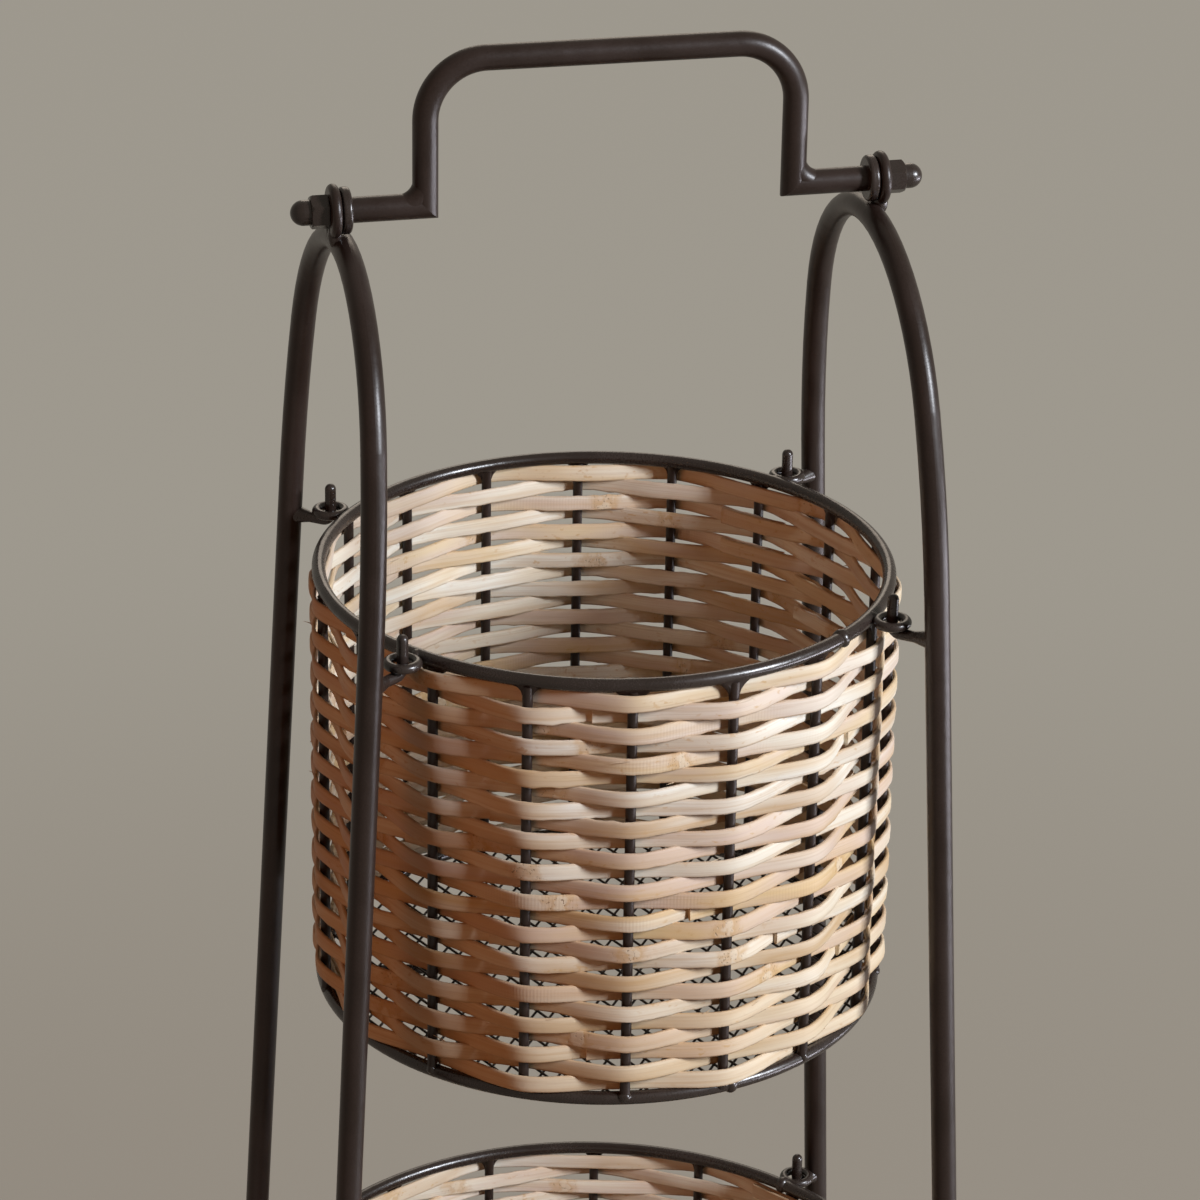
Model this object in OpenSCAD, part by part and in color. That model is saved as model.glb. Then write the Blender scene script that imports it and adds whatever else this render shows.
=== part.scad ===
// Three-tier caddy: three round woven baskets, one above the other, hung on
// pins between two tall round-bar hoops that a carrying handle joins on top.
// Millimetres, +Z up. X runs from hoop to hoop and Y from front to back.
// The origin lies on the floor, under the middle of the baskets.

/* [Frame] */
// Height of the hoops, from the floor to the bar's centre at the crown
hoop_h = 1189; // [1150:1:1300]
// Diameter of the round bar of the hoops and of the handle
bar_d = 11; // [9:0.5:12]
// Distance between the two hoops at the floor
foot_spread = 348; // [330:1:370]
// Distance between the two hoops at their crowns
crown_spread = 230; // [226:1:240]
// Distance between the front and back leg of a hoop at the floor
foot_depth = 263; // [250:1:280]
// Distance between the straight legs, carried on up to the crown's height
shoulder_depth = 182; // [176:1:190]
// Radius of the slow bend from each leg into the arch
shoulder_bend_r = 320; // [260:5:380]
// Radius of the round crown of the arch
crown_bend_r = 86; // [76:1:88]
// Outer diameter of the glide under each leg
glide_d = 15; // [14:0.5:18]
// How far a glide reaches up its leg
glide_h = 20; // [12:1:30]
// Thickness of a glide under the end of the leg
glide_base = 4; // [2:0.5:8]

/* [Pivots] */
// Height of the handle's pivot line over the crown of the hoops
pivot_rise = 16; // [15:0.5:17]
// Outer diameter of the eye on each crown
eye_d = 23; // [22:0.5:25]
// Thickness of the eye
eye_t = 4.5; // [4:0.5:6]
// How far the eye stands outside the middle of the crown
eye_offset = 4; // [0:0.5:4.5]
// Diameter of the threaded stud on each end of the handle
stud_d = 8; // [6:0.5:9]
// Outer diameter of the washer between handle and eye
washer_d = 20; // [18:0.5:22]
// Thickness of that washer
washer_t = 4.4; // [3:0.2:6]
// Width of the acorn nut across its flats
nut_af = 13; // [12:0.5:14]
// Height of the six-sided part of the acorn nut
nut_hex_h = 7.4; // [6:0.2:9]
// Diameter of the acorn nut's dome
nut_dome_d = 10.8; // [10:0.2:11.6]
// Whole length of the acorn nut
nut_l = 15.8; // [14:0.2:18]

/* [Handle] */
// Distance between the two upright bars of the handle
riser_spread = 160; // [130:1:175]
// Height of the grip over the pivot line
grip_rise = 63; // [55:1:90]
// Radius of the bends from the upright bars into the grip
grip_bend_r = 26; // [15:1:35]
// Inner radius of the dressed weld between an upright bar and its arm
corner_weld_r = 6; // [3:0.5:9]

/* [Baskets] */
// Height of the top basket's upper rim over the floor
top_rim_h = 1034; // [1020:1:1040]
// Height from one basket's rim to the next
tier_pitch = 387; // [360:1:390]
// Height of a basket, from its upper to its lower rim rod
basket_h = 196; // [150:1:230]
// Diameter of the rim rods
rim_d = 6; // [5:0.5:7]
// Diameter of the upright staves
stave_d = 4.5; // [3.5:0.1:5]
// Size of the weld fillets between a stave and the upper rim
stave_fillet = 4; // [2:0.5:4.5]
// Number of staves in a basket, even so that the rows close
staves_n = 18; // [14:2:22]
// Number of rows of woven strip in a basket
rows_n = 26; // [20:1:30]
// Thickness of a woven strip
strip_t = 2; // [1.5:0.1:2.6]
// How far a strip laps over the row above and below where they cross
strip_lap = 1.1; // [0.6:0.1:2]
// Width of the strands of the mesh floor
strand_w = 1.6; // [1.2:0.1:2.4]
// Thickness of the strands of the mesh floor
strand_t = 1.5; // [1:0.1:2.5]
// Number of strands across the floor, in each of the two directions
strands_n = 18; // [8:1:18]
// Diameter of the round bar under the floor
floor_bar_d = 4.5; // [3:0.1:5.5]

/* [Hanging fittings] */
// Outer diameter of the rings on a basket's rim
ring_d = 16.8; // [15:0.2:18]
// Diameter of the wire of those rings
ring_wire_d = 4.2; // [3.4:0.1:4.6]
// Diameter of the L-shaped pins on the legs
pin_d = 5; // [4:0.1:5.6]
// Distance from the middle of a leg to the middle of its top tier ring
top_pin_reach = 20.6; // [18:0.1:26]
// Distance from the middle of a leg to the middle of its middle tier ring
middle_pin_reach = 15.9; // [15:0.1:26]
// Distance from the middle of a leg to the middle of its bottom tier ring
bottom_pin_reach = 16.1; // [15:0.1:26]
// Height of a pin over the middle of the ring that hangs on it
pin_rise = 13; // [8:0.5:16]
// Radius of a pin's bend, to the middle of its wire
pin_bend_r = 4; // [3:0.5:5]
// Diameter of the weld where a pin meets its leg
pin_weld_d = 9.6; // [8:0.2:10.6]

/* [Hidden] */

// Roundness of the round shapes
$fn = 48;
// Gap between pieces that rest on each other or pass each other
seat_gap = 0.3;
// Gap between a stud and the bore that turns on it
running_gap = 0.08;
// Gap between a strip and a stave or a rim that it lies against
strip_gap = 0.15;
// Overrun of every cut past the face that it opens
cut_over = 1;
// Radius of an eye's foot, low and high, as shares of half the eye's thickness
foot_low_share = 0.6;
foot_top_share = 0.95;
// Width of the bevel on a glide's edges
glide_edge = 1;
// Length of the dressed seam where a bar changes from one bend to the next
seam_l = 1.2;
// How far a dressed seam stands proud of its bar
seam_proud = 0.03;
// Colour of the dark bronze metal
bronze = [0.16, 0.13, 0.12];
// Colour of the rattan strips
rattan = [0.80, 0.66, 0.50];
// Angle of the first stave of each basket, seen from above
stave_turns = [-98, -104, -98];
// Angle of the floor's strands to the X axis, to either side
strand_turn = 62;
// Angle of the bar under the floor to the X axis
floor_bar_turn = -8;
// Gap between the floor and what it is welded to
weld_gap = 0.05;
// Thickness of the weld fillets at the top of a stave
stave_weld_t = 2;
// How much thinner than its bars the dressed weld of a corner is, all round
corner_weld_skin = 0.3;

bar_r = bar_d / 2;
rim_r = rim_d / 2;
stave_r = stave_d / 2;
stud_r = stud_d / 2;
pin_r = pin_d / 2;
pivot_h = hoop_h + pivot_rise;
foot_x = foot_spread / 2;
crown_x = crown_spread / 2;
foot_y = foot_depth / 2;
shoulder_y = shoulder_depth / 2;
riser_x = riser_spread / 2;
grip_h = pivot_h + grip_rise;

// The plane of a hoop leans inwards by this angle, and lengths up that plane
// are longer than heights by its cosine
hoop_lean = atan((foot_x - crown_x) / hoop_h);
plane_h = hoop_h / cos(hoop_lean);

// Middle of a straight leg at a height over the floor, in X and in Y
function leg_x(h) = foot_x - (foot_x - crown_x) * h / hoop_h;
function leg_y(h) = foot_y - (foot_y - shoulder_y) * h / hoop_h;

// The arch in the hoop's own plane, as [Y, height up the plane]. The shoulder
// arc touches the leg, and the crown arc, whose centre is on the middle line,
// touches the shoulder arc. The leg's end is the lower root of a quadratic.
leg_slope = (foot_y - shoulder_y) / plane_h;
leg_tilt = atan(leg_slope);
arc_gap = shoulder_bend_r - crown_bend_r;
crown_centre = plane_h - crown_bend_r;
side_a = foot_y - shoulder_bend_r * cos(leg_tilt);
side_b = crown_centre + shoulder_bend_r * sin(leg_tilt);
quad_a = 1 + leg_slope * leg_slope;
quad_b = side_a * leg_slope + side_b;
quad_c = side_a * side_a + side_b * side_b - arc_gap * arc_gap;
leg_end = (quad_b - sqrt(quad_b * quad_b - quad_a * quad_c)) / quad_a;
shoulder_centre = [side_a - leg_slope * leg_end, leg_end - shoulder_bend_r * sin(leg_tilt)];
crown_turn = acos(-shoulder_centre[0] / arc_gap);

// Where a leg starts, inside its glide
leg_start = glide_base / cos(hoop_lean);

// A round rod from one point to another, turned round its own axis if asked
module rod(from, to, r1, r2, own_turn = 0) {
    run = to - from;
    length = norm(run);
    translate(from)
        rotate([0, acos(run[2] / length), atan2(run[1], run[0])])
            rotate([0, 0, own_turn])
                cylinder(h = length, r1 = r1, r2 = r2);
}

// A bent rod in the Y-Z plane, between two angles round its centre
module bend(centre, bend_r, rod_r, from, to) {
    translate([0, centre[0], centre[1]])
        rotate([90, 0, 90])
            rotate([0, 0, from])
                rotate_extrude(angle = to - from)
                    translate([bend_r, 0])
                        circle(rod_r);
}

// A short collar over the seam between two lengths of bar, square to the bar
module seam(centre, bend_r, angle, r) {
    translate([0, centre[0], centre[1]])
        rotate([angle, 0, 0])
            translate([0, bend_r, -seam_l / 2])
                cylinder(h = seam_l, r = r + seam_proud);
}

// One leg and its shoulder, in the plane x = 0
module leg_and_shoulder(r) {
    rod([0, foot_y - leg_slope * leg_start, leg_start],
        [0, foot_y - leg_slope * leg_end, leg_end], r, r);
    seam(shoulder_centre, shoulder_bend_r, leg_tilt, r);
    bend(shoulder_centre, shoulder_bend_r, r, leg_tilt, crown_turn);
    seam(shoulder_centre, shoulder_bend_r, crown_turn, r);
}

// A whole hoop, with side = 1 for the right one and -1 for the left one
module hoop_bar(side, r) {
    translate([side * foot_x, 0, 0])
        rotate([0, -side * hoop_lean, 0]) {
            leg_and_shoulder(r);
            mirror([0, 1, 0])
                leg_and_shoulder(r);
            bend([0, crown_centre], crown_bend_r, r, crown_turn, 180 - crown_turn);
        }
}

module hoop(side) {
    color(bronze)
        hoop_bar(side, bar_r);
}

// The glides: an upright cap under each leg, bored along the leg
module floor_glides() {
    glide_r = glide_d / 2;
    color("black")
        for (sx = [-1, 1], sy = [-1, 1])
            difference() {
                translate([sx * leg_x(glide_h / 2), sy * leg_y(glide_h / 2), 0])
                    rotate_extrude()
                        polygon([[0, 0], [glide_r - glide_edge, 0], [glide_r, glide_edge],
                                 [glide_r, glide_h - glide_edge], [glide_r - glide_edge, glide_h],
                                 [0, glide_h]]);
                rod([sx * leg_x(glide_base), sy * leg_y(glide_base), glide_base],
                    [sx * leg_x(2 * glide_h), sy * leg_y(2 * glide_h), 2 * glide_h],
                    bar_r, bar_r, own_turn = 45);
            }
}

// Places along the pivot line, from the middle of the frame outwards
eye_x = crown_x + eye_offset;
washer_x = eye_x - eye_t / 2 - seat_gap - washer_t;
nut_x = eye_x + eye_t / 2 + seat_gap;
stud_end_x = nut_x + nut_hex_h + (nut_l - nut_hex_h) / 3;

// The eye on a crown: a thick disc with a round edge and a bore, on a foot that
// is welded to the outer side of the hoop
module pivot_eye(side) {
    edge_r = eye_t / 2;
    round_at = eye_d / 2 - edge_r;
    bore_r = stud_r + running_gap;
    color(bronze)
        difference() {
            union() {
                translate([side * eye_x, 0, pivot_h])
                    rotate([0, 90, 0])
                        rotate_extrude()
                            union() {
                                translate([bore_r, -edge_r])
                                    square([round_at - bore_r, eye_t]);
                                translate([round_at, 0])
                                    circle(edge_r);
                            }
                rod([side * (crown_x + eye_offset / 2), 0, hoop_h],
                    [side * eye_x, 0, pivot_h - round_at],
                    foot_low_share * edge_r, foot_top_share * edge_r, own_turn = 60);
            }
            hoop_bar(side, bar_r);
        }
}

// The handle: a grip with two round bends, two upright bars, and an arm on
// each side, cut at 45 degrees and welded to the foot of its upright bar. The
// weld is dressed round in the inner corner, like a bend of the bar.
module handle_bar() {
    turn_r = corner_weld_r + bar_r;
    straight_h = grip_h - grip_bend_r;
    mitre = 2 * (grip_rise + riser_x);
    color(bronze)
        for (side = [0, 1])
            mirror([side, 0, 0]) {
                rod([0, 0, grip_h], [riser_x - grip_bend_r, 0, grip_h], bar_r, bar_r);
                translate([riser_x - grip_bend_r, 0, straight_h])
                    rotate([90, 0, 0])
                        rotate_extrude(angle = 90)
                            translate([grip_bend_r, 0])
                                circle(bar_r);
                difference() {
                    rod([riser_x, 0, pivot_h - bar_d], [riser_x, 0, straight_h], bar_r, bar_r);
                    translate([riser_x, 0, pivot_h])
                        rotate([0, -45, 0])
                            translate([-mitre / 2, -mitre / 2, -mitre])
                                cube(mitre);
                }
                difference() {
                    rod([riser_x - bar_d, 0, pivot_h], [washer_x, 0, pivot_h], bar_r, bar_r);
                    translate([riser_x, 0, pivot_h])
                        rotate([0, -45, 0])
                            translate([-mitre / 2, -mitre / 2, 0])
                                cube(mitre);
                }
                translate([riser_x + turn_r, 0, pivot_h + turn_r])
                    rotate([90, 0, 0])
                        rotate([0, 0, 180])
                            rotate_extrude(angle = 90)
                                translate([turn_r, 0])
                                    circle(bar_r - corner_weld_skin);
            }
}

module pivot_studs() {
    color(bronze)
        for (side = [-1, 1])
            rod([side * washer_x, 0, pivot_h], [side * stud_end_x, 0, pivot_h], stud_r, stud_r);
}

// A washer with rounded rims on each stud
module pivot_washers() {
    round_r = washer_t / 3;
    bore_r = stud_r + running_gap;
    color(bronze)
        for (side = [0, 1])
            mirror([side, 0, 0])
                translate([washer_x, 0, pivot_h])
                    rotate([0, 90, 0])
                        rotate_extrude()
                            union() {
                                translate([bore_r, 0])
                                    square([washer_d / 2 - round_r - bore_r, washer_t]);
                                translate([bore_r, round_r])
                                    square([washer_d / 2 - bore_r, washer_t - 2 * round_r]);
                                for (h = [round_r, washer_t - round_r])
                                    translate([washer_d / 2 - round_r, h])
                                        circle(round_r);
                            }
}

// An acorn nut on each stud: a chamfered hexagon and a dome with a blind bore
module acorn_nuts() {
    corner_r = nut_af / 2 / cos(30);
    chamfer = corner_r - nut_af / 2;
    dome_r = nut_dome_d / 2;
    color(bronze)
        for (side = [0, 1])
            mirror([side, 0, 0])
                translate([nut_x, 0, pivot_h])
                    rotate([0, 90, 0])
                        difference() {
                            union() {
                                intersection() {
                                    cylinder(h = nut_hex_h, r = corner_r, $fn = 6);
                                    union() {
                                        cylinder(h = nut_hex_h - chamfer, r = corner_r);
                                        translate([0, 0, nut_hex_h - chamfer])
                                            cylinder(h = chamfer, r1 = corner_r, r2 = nut_af / 2);
                                    }
                                }
                                cylinder(h = nut_l - dome_r, r = dome_r);
                                translate([0, 0, nut_l - dome_r])
                                    sphere(dome_r);
                            }
                            translate([0, 0, -cut_over])
                                cylinder(h = stud_end_x - nut_x + seat_gap + cut_over,
                                         r = stud_r + running_gap);
                        }
}

// The baskets, counted from the top: 0, 1 and 2
function rim_h(tier) = top_rim_h - tier * tier_pitch;

// Where a ring and its pin stand: on the line from the basket's middle to the
// leg, at the height of the rim. The basket is as wide as its rings allow.
function fitting_turn(tier) = atan2(leg_y(rim_h(tier)), leg_x(rim_h(tier)));
function leg_reach(tier) = norm([leg_x(rim_h(tier)), leg_y(rim_h(tier))]);
function pin_reach(tier) = [top_pin_reach, middle_pin_reach, bottom_pin_reach][tier];
function ring_reach(tier) = leg_reach(tier) - pin_reach(tier);
ring_r = ring_d / 2;
ring_wire_r = ring_wire_d / 2;
ring_sink = ring_wire_r / 2;
function basket_r(tier) = ring_reach(tier) - ring_r + ring_sink - rim_r;
pin_drop = ring_wire_r + seat_gap + pin_r;

// Draws its children at the four legs, with +X pointing out to the leg
module at_legs(tier) {
    turn = fitting_turn(tier);
    for (angle = [turn, 180 - turn, 180 + turn, -turn])
        translate([0, 0, rim_h(tier)])
            rotate([0, 0, angle])
                children();
}

// An L-shaped pin: an arm in from the leg, under the ring, then a bend and an
// end turned up through the ring. The arm's root is flared into a weld.
module tier_pins(tier) {
    arm_l = pin_reach(tier) - pin_bend_r;
    weld_l = bar_r + pin_weld_d / 2;
    weld_start = arm_l - weld_l;
    up_l = pin_rise + pin_drop - pin_bend_r;
    leg_low = rim_h(tier) - 2 * pin_rise;
    leg_top = rim_h(tier) + 2 * pin_rise;
    color(bronze)
        difference() {
            at_legs(tier)
                translate([ring_reach(tier) + pin_bend_r, 0, pin_bend_r - pin_drop]) {
                    translate([0, 0, -pin_bend_r])
                        rotate([0, 90, 0]) {
                            cylinder(h = arm_l, r = pin_r);
                            translate([0, 0, weld_start])
                                cylinder(h = weld_l, r1 = pin_r - seam_proud, r2 = pin_weld_d / 2);
                        }
                    rotate([90, 0, 0])
                        rotate([0, 0, 180])
                            rotate_extrude(angle = 90)
                                translate([pin_bend_r, 0])
                                    circle(pin_r);
                    translate([-pin_bend_r, 0, 0]) {
                        cylinder(h = up_l - pin_r, r = pin_r);
                        translate([0, 0, up_l - pin_r])
                            sphere(pin_r);
                    }
                }
            for (sx = [-1, 1], sy = [-1, 1])
                rod([sx * leg_x(leg_low), sy * leg_y(leg_low), leg_low],
                    [sx * leg_x(leg_top), sy * leg_y(leg_top), leg_top],
                    bar_r, bar_r);
        }
}

// A ring of round rod, flat, with its middle at a height
module rod_ring(ring_radius, rod_r, h) {
    translate([0, 0, h])
        rotate_extrude()
            translate([ring_radius, 0])
                circle(rod_r);
}

module upper_rim(tier) {
    color(bronze)
        rod_ring(basket_r(tier), rim_r, rim_h(tier));
}

module lower_rim(tier) {
    color(bronze)
        rod_ring(basket_r(tier), rim_r, rim_h(tier) - basket_h);
}

// The four rings that hang the basket on its pins, welded to the upper rim
module basket_rings(tier) {
    color(bronze)
        difference() {
            at_legs(tier)
                translate([ring_reach(tier), 0, 0])
                    rotate_extrude()
                        translate([ring_r - ring_wire_r, 0])
                            circle(ring_wire_r);
            rod_ring(basket_r(tier), rim_r, rim_h(tier));
        }
}

// The staves: round rods from rim to rim, with a weld fillet on each side under
// the upper rim, and rounded where they lap on to the lower rim
module staves(tier) {
    foot = rim_h(tier) - basket_h + rim_r / 2;
    top = rim_h(tier) - ring_wire_r - strip_gap;
    color(bronze)
        difference() {
            for (i = [0 : staves_n - 1])
                rotate([0, 0, stave_turns[tier] + i * 360 / staves_n])
                    translate([stave_ring_r(tier), 0, foot]) {
                        cylinder(h = top - foot, r = stave_r);
                        sphere(stave_r);
                        translate([0, 0, top - foot])
                            rotate([90, 0, 90])
                                stave_weld();
                    }
            rod_ring(basket_r(tier), rim_r, rim_h(tier));
            rod_ring(basket_r(tier), rim_r, rim_h(tier) - basket_h);
        }
}

// The two fillets of a stave's weld, thin enough to pass between the strips
module stave_weld() {
    reach = stave_r + stave_fillet;
    linear_extrude(height = stave_weld_t, center = true)
        difference() {
            translate([-reach, -stave_fillet])
                square([2 * reach, stave_fillet]);
            for (side = [-1, 1])
                translate([side * reach, -stave_fillet])
                    circle(stave_fillet);
        }
}

// The staves stand a little outside the middle of the rim rods
function stave_ring_r(tier) = basket_r(tier) + stave_r / 2;

// One row of strip, seen from above, as a closed band. It passes outside one
// stave and inside the next, and runs straight between them, with one fold at
// each stave. An outer fold lies further off, so that its sides clear the stave.
module strip_band(tier, first_outside) {
    r = stave_ring_r(tier);
    step = 360 / staves_n;
    clear_r = stave_r + strip_gap;
    inner_off = clear_r + strip_t / 2;
    outer_off = clear_r / cos(step) + strip_t / 2;
    function edge(push) = [
        for (i = [0 : staves_n - 1])
            turned(i % 2 == (first_outside ? 0 : 1) ? r + outer_off + push : r - inner_off + push,
                   i * step)
    ];
    difference() {
        polygon(edge(strip_t / 2));
        polygon(edge(-strip_t / 2));
    }
}

function turned(r, angle) = [r * cos(angle), r * sin(angle)];

// The woven wall: rows of strip that change sides at every stave, so that each
// row crosses the next between the staves, where the two hold each other
module weave(tier) {
    low = rim_h(tier) - basket_h + rim_r + strip_gap;
    high = rim_h(tier) - rim_r - strip_gap;
    row_h = (high - low - strip_lap) / rows_n;
    color(rattan)
        rotate([0, 0, stave_turns[tier]])
            union()
                for (row = [0 : rows_n - 1])
                    translate([0, 0, high - (row + 1) * row_h - strip_lap])
                        linear_extrude(height = row_h + strip_lap)
                            strip_band(tier, row % 2 == 0);
}

// The floor: a flat sheet of diamond mesh, butted all round to the lower rim.
// Its strands run in two directions, so that the diamonds are longest across.
module basket_floor(tier) {
    edge_r = basket_r(tier) - rim_r - weld_gap;
    pitch = 2 * edge_r / strands_n;
    color(bronze)
        translate([0, 0, rim_h(tier) - basket_h])
            linear_extrude(height = strand_t)
                intersection() {
                    circle(edge_r);
                    for (turn = [strand_turn, -strand_turn], i = [0 : strands_n - 1])
                        rotate([0, 0, turn])
                            translate([-edge_r, i * pitch + pitch / 2 - edge_r - strand_w / 2])
                                square([2 * edge_r, strand_w]);
                }
}

// The round bar under the middle of the floor, coped to the lower rim
module floor_bar(tier) {
    h = rim_h(tier) - basket_h;
    reach = basket_r(tier) - rim_r / 2;
    color(bronze)
        difference() {
            rotate([0, 0, floor_bar_turn])
                translate([0, 0, h - weld_gap - floor_bar_d / 2])
                    rod([-reach, 0, 0], [reach, 0, 0], floor_bar_d / 2, floor_bar_d / 2);
            rod_ring(basket_r(tier), rim_r, h);
        }
}

hoop(-1);  // left_hoop
hoop(1);  // right_hoop
pivot_eye(-1);  // left_pivot_eye
pivot_eye(1);  // right_pivot_eye
tier_pins(0);  // top_tier_pins
tier_pins(1);  // middle_tier_pins
tier_pins(2);  // bottom_tier_pins
floor_glides();
handle_bar();
pivot_studs();
pivot_washers();
acorn_nuts();
upper_rim(0);  // top_basket_upper_rim
lower_rim(0);  // top_basket_lower_rim
staves(0);  // top_basket_staves
basket_rings(0);  // top_basket_rings
weave(0);  // top_basket_weave
basket_floor(0);  // top_basket_floor
floor_bar(0);  // top_basket_floor_bar
upper_rim(1);  // middle_basket_upper_rim
lower_rim(1);  // middle_basket_lower_rim
staves(1);  // middle_basket_staves
basket_rings(1);  // middle_basket_rings
weave(1);  // middle_basket_weave
basket_floor(1);  // middle_basket_floor
floor_bar(1);  // middle_basket_floor_bar
upper_rim(2);  // bottom_basket_upper_rim
lower_rim(2);  // bottom_basket_lower_rim
staves(2);  // bottom_basket_staves
basket_rings(2);  // bottom_basket_rings
weave(2);  // bottom_basket_weave
basket_floor(2);  // bottom_basket_floor
floor_bar(2);  // bottom_basket_floor_bar
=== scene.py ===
# %% [markdown]
# # A three-tier caddy with woven baskets
# The caddy has three round rattan baskets. They hang on pins between two tall hoops of round steel bar,
# and a handle turns on top. The metal pieces arrive as a finished frame, at their true size and place.
# This lesson adds what the frame leaves plain: the weave of every single strip, the mesh of the floors,
# the welds, and the look of bronze-coated steel and of split rattan.

# %% Load the frame
import math

import bpy
from mathutils import Matrix, Vector


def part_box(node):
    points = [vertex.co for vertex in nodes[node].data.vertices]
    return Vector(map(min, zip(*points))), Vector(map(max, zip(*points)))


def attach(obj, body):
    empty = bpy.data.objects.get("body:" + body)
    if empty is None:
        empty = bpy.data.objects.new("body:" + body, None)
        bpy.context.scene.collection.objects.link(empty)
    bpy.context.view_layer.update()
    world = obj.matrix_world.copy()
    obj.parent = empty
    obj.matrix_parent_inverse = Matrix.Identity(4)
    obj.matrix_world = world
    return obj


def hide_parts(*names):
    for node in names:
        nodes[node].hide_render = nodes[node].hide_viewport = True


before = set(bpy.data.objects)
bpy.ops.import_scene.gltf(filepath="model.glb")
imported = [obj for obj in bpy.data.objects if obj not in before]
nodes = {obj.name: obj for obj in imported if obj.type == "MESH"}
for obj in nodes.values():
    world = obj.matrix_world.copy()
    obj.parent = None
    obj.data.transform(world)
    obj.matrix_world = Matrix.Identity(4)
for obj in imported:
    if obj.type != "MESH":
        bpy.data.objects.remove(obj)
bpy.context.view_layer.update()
scene = bpy.context.scene

# %% [markdown]
# ## Sizes taken from the frame
# Nothing here is measured twice. The radius and height of each basket come from the boxes of its two rim
# rods, so that the weave always fits the frame that it is given. Only what a box can't tell is written
# down again: how many staves and rows there are, and where the first stave stands.

# %% Sizes of the three baskets
MM = 0.001
FULL_TURN = 2 * math.pi
TIERS = ("top", "middle", "bottom")
STAVES = 18
ROWS = 26
FIRST_STAVE = {"top": -98.0, "middle": -104.0, "bottom": -98.0}
STAVE_RADIUS = 2.25 * MM
STRIP_WIDTH = 7.8 * MM
STRIP_THICKNESS = 1.9 * MM
STRIP_CLEARANCE = 0.15 * MM


def basket_sizes(tier):
    """Rim radius, rod radius and the two rim heights of a basket, in metres."""
    low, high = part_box(f"{tier}_basket_upper_rim")
    bottom_low, bottom_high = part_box(f"{tier}_basket_lower_rim")
    rod = (high.z - low.z) / 2
    return {
        "rim_radius": (high.x - low.x) / 2 - rod,
        "rod_radius": rod,
        "top": (low.z + high.z) / 2,
        "bottom": (bottom_low.z + bottom_high.z) / 2,
    }


baskets = {tier: basket_sizes(tier) for tier in TIERS}
for tier, sizes in baskets.items():
    print(tier, {name: round(value, 4) for name, value in sizes.items()})

# %% [markdown]
# ## The camera
# A long lens from a little above shows the caddy almost without perspective. The camera stands 14 degrees
# round to the left of the front and looks down by 24 degrees, and is rolled by one degree. Its place is
# given from the middle of the top basket's rim, because the picture is centred a little below it.

# %% Place the camera
VIEW_ROUND = math.radians(-13.85)
VIEW_DOWN = math.radians(23.93)
VIEW_ROLL = math.radians(1.01)
VIEW_DISTANCE = 1.972
AIM_FROM_RIM = Vector((-0.0016, 0, -0.01675))
SENSOR_WIDTH = 36.0
LENS_IN_SENSOR_WIDTHS = 3.736375
SIGHT_LIMIT = 200.0

backward = Vector((math.sin(VIEW_ROUND) * math.cos(VIEW_DOWN),
                   -math.cos(VIEW_ROUND) * math.cos(VIEW_DOWN),
                   math.sin(VIEW_DOWN)))
aim = Vector((0, 0, baskets["top"]["top"])) + AIM_FROM_RIM
camera_data = bpy.data.cameras.new("camera")
camera_data.sensor_width = SENSOR_WIDTH
camera_data.lens = LENS_IN_SENSOR_WIDTHS * SENSOR_WIDTH
camera_data.clip_end = SIGHT_LIMIT
camera = bpy.data.objects.new("camera", camera_data)
scene.collection.objects.link(camera)
stand = Matrix.Translation(aim + backward * VIEW_DISTANCE)
turn = backward.to_track_quat("Z", "Y").to_matrix().to_4x4()
roll = Matrix.Rotation(VIEW_ROLL, 4, "Z")
camera.matrix_world = stand @ turn @ roll
scene.camera = camera
print("camera at", [round(v, 3) for v in camera.matrix_world.translation], "lens", round(camera_data.lens, 1))

# %% [markdown]
# ## Writing node trees as sums
# Materials and geometry nodes are both trees of small boxes. Wiring each box by hand takes many lines,
# so one small class wraps a socket and lets plain Python arithmetic add the Math boxes. The same class
# serves both kinds of tree, because they share the Math node.


# %% A socket that can be calculated with
class Socket:
    """An output of a node. Sums with it add Math nodes to its tree."""

    def __init__(self, tree, out):
        self.tree = tree
        self.out = out

    def math(self, operation, *values):
        return self.tree.node("ShaderNodeMath", {"operation": operation}, values)

    def __add__(self, other):
        return self.math("ADD", self, other)

    def __radd__(self, other):
        return self.math("ADD", other, self)

    def __sub__(self, other):
        return self.math("SUBTRACT", self, other)

    def __rsub__(self, other):
        return self.math("SUBTRACT", other, self)

    def __mul__(self, other):
        return self.math("MULTIPLY", self, other)

    def __rmul__(self, other):
        return self.math("MULTIPLY", other, self)

    def __truediv__(self, other):
        return self.math("DIVIDE", self, other)

    def __rtruediv__(self, other):
        return self.math("DIVIDE", other, self)

    def __mod__(self, other):
        return self.math("FLOORED_MODULO", self, other)

    def __pow__(self, other):
        return self.math("POWER", self, other)

    def floor(self):
        return self.math("FLOOR", self)

    def sin(self):
        return self.math("SINE", self)

    def cos(self):
        return self.math("COSINE", self)

    def absolute(self):
        return self.math("ABSOLUTE", self)

    def above(self, other):
        return self.math("GREATER_THAN", self, other)

    def least(self, other):
        return self.math("MINIMUM", self, other)

    def most(self, other):
        return self.math("MAXIMUM", self, other)

    def step(self, low, high):
        """0 below low, 1 above high, and a smooth change between them."""
        return self.tree.node("ShaderNodeMapRange", {"interpolation_type": "SMOOTHSTEP"},
                              [self, low, high, 0.0, 1.0])

    def bearing(self, x):
        """The angle round the Z axis, in radians, of a point whose Y this is."""
        return self.math("ARCTAN2", self, x)


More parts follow.
